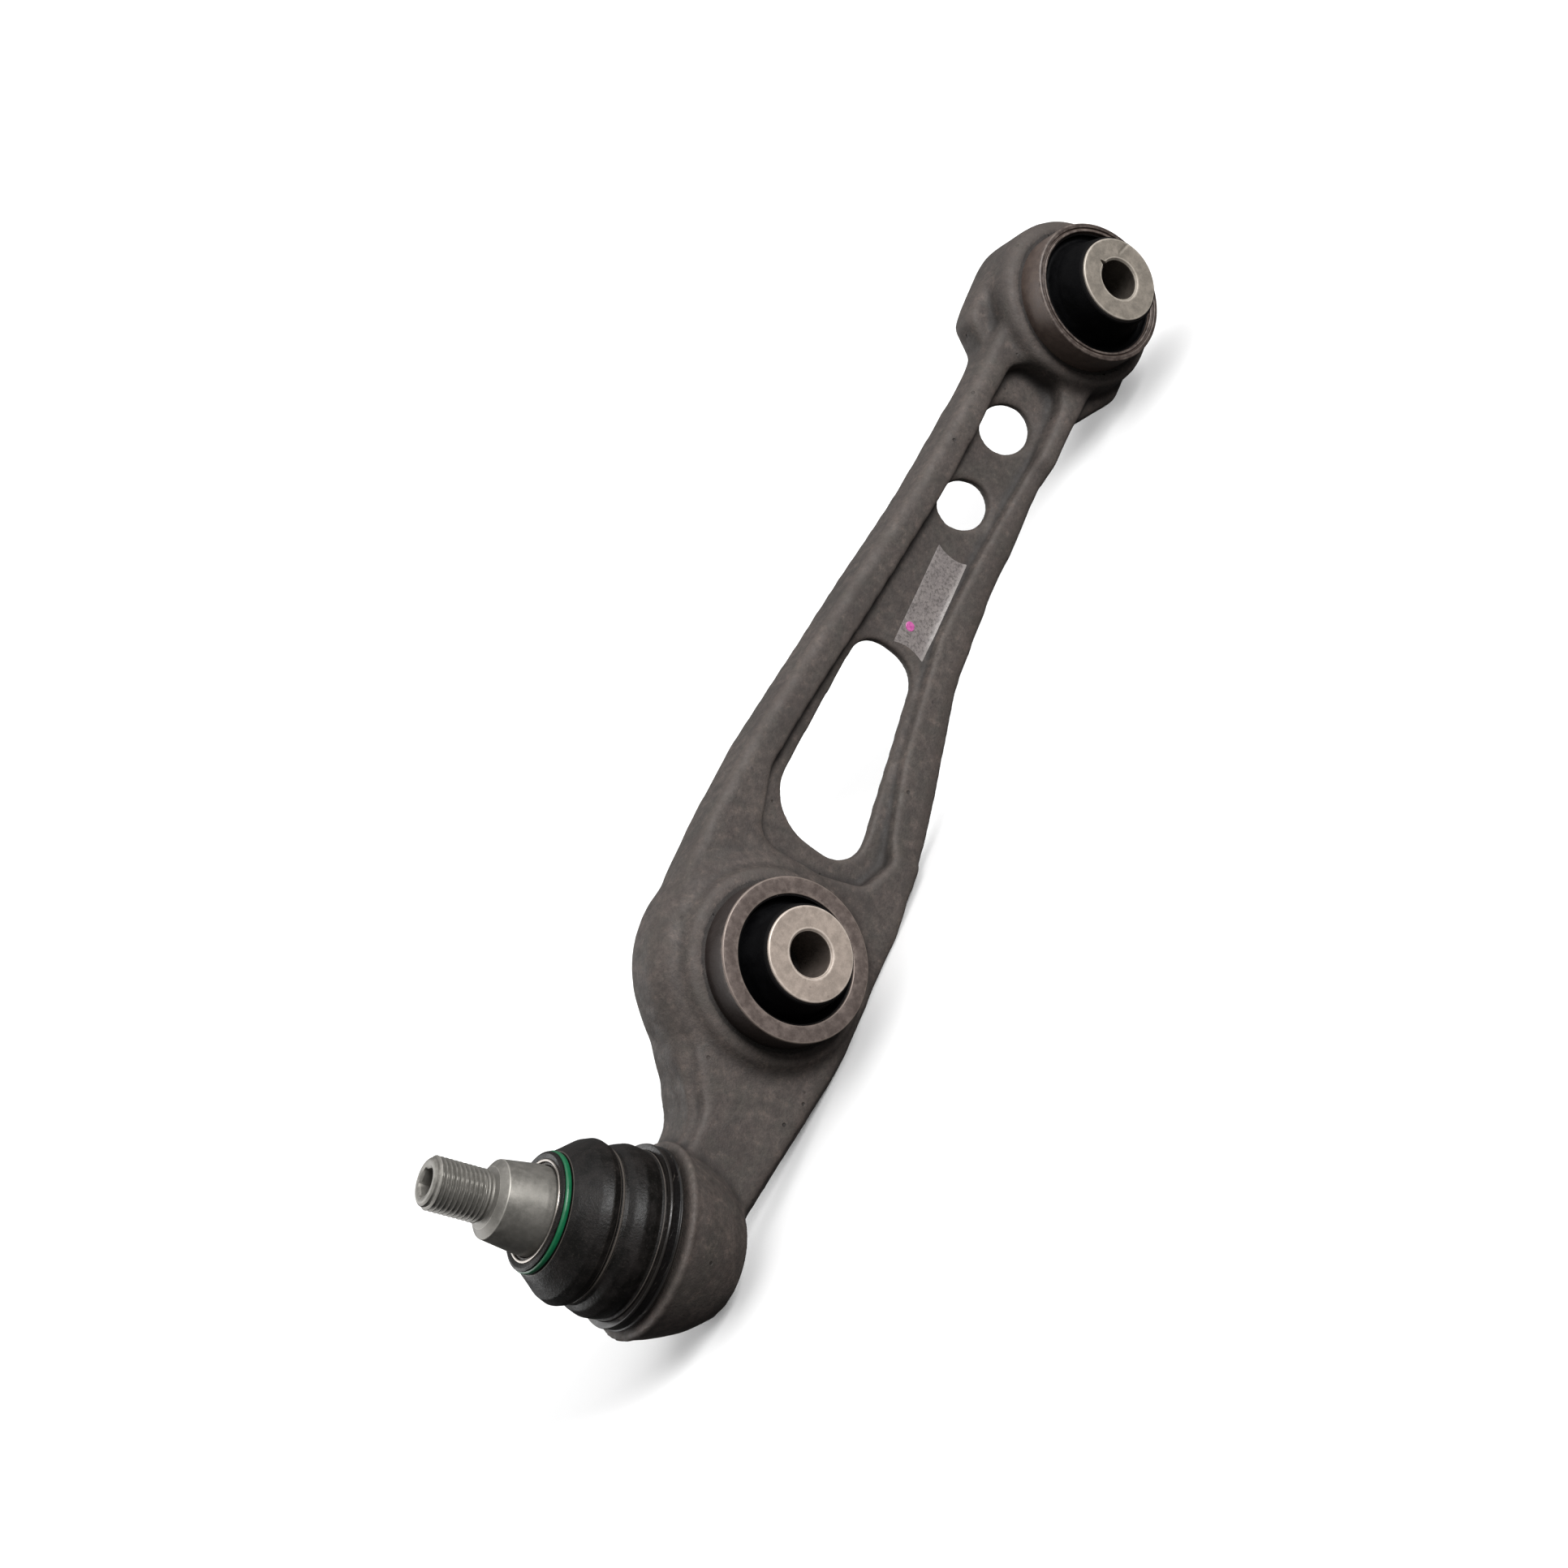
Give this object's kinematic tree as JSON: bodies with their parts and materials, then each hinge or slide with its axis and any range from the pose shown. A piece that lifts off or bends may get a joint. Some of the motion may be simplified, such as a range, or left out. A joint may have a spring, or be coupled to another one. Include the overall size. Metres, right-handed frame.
{
  "type": "suspension control arm",
  "caption": "Forged lower control arm with a bonded bush at the inner end, a damper bush near the outer end and a booted ball joint with a threaded stud.",
  "frame": {"origin": "centre of the inner bush's bore, on the arm's mid-plane", "axes": "+X along the arm towards the damper bush and ball joint, +Y along both bush axes, +Z to the side that the ball stud stands out of"},
  "size_m": [0.4293, 0.07, 0.1021],
  "materials": {
    "forged_aluminium": "blasted forging, matt",
    "can_steel": "oiled pressed steel",
    "cage_steel": "plain pressed steel",
    "bush_rubber": "moulded, matt",
    "sleeve_steel": "machined face",
    "ring_steel": "machined face",
    "ball_steel": "ground and polished",
    "stud_steel": "turned, satin",
    "shell_plastic": "self-lubricating plastic",
    "clamp_steel": "black coated band",
    "boot_rubber": "moulded, soft sheen",
    "green_ring": "moulded plastic",
    "support_steel": "plain rolled steel",
    "label_film": "blank printed film",
    "paint": "paint dot"
  },
  "bodies": {
    "inner_sleeve": {"inner_bush_sleeve": "sleeve_steel"},
    "arm": {"arm_forging": "forged_aluminium", "inner_bush_can": "can_steel", "inner_bush_cage": "cage_steel", "inner_bush_rubber": "bush_rubber", "damper_bush_ring": "ring_steel", "damper_bush_rubber": "bush_rubber", "joint_shell_lower": "shell_plastic", "joint_shell_upper": "shell_plastic", "joint_closing_ring": "cage_steel", "boot_clamp_ring": "clamp_steel", "boot_lower": "boot_rubber", "web_label": "label_film", "paint_dot": "paint"},
    "damper_sleeve": {"damper_bush_sleeve": "sleeve_steel"},
    "ball": {"joint_ball": "ball_steel"},
    "boot_neck": {"boot_upper": "boot_rubber", "boot_garter_ring": "green_ring", "boot_support_ring": "support_steel", "boot_mouth_lip": "boot_rubber"},
    "stud": {"joint_stud": "stud_steel"}
  },
  "joints": [
    {"name": "subframe_pivot", "type": "hinge", "parent": "arm", "child": "inner_sleeve", "pos_m": [0, 0, 0], "axis": [0, 1, 0], "range_deg": [-20, 20], "stiffness_Nm_per_rad": 110},
    {"name": "damper_pivot", "type": "hinge", "parent": "arm", "child": "damper_sleeve", "pos_m": [0.2773, 0, 0], "axis": [0, 1, 0], "range_deg": [-15, 15], "stiffness_Nm_per_rad": 60},
    {"name": "ball_tilt_side", "type": "hinge", "parent": "arm", "child": "ball", "pos_m": [0.36566, 0, -0.01309], "axis": [0.9588, 0, -0.284], "range_deg": [-14, 14], "deforming": ["boot_lower"]},
    {"name": "ball_tilt_long", "type": "hinge", "parent": "ball", "child": "boot_neck", "pos_m": [0.36566, 0, -0.01309], "axis": [0, 1, 0], "range_deg": [-14, 14], "deforming": ["boot_upper"]},
    {"name": "stud_spin", "type": "hinge", "parent": "boot_neck", "child": "stud", "pos_m": [0.36566, 0, -0.01309], "axis": [0.284, 0, 0.9588], "continuous": true}
  ]
}
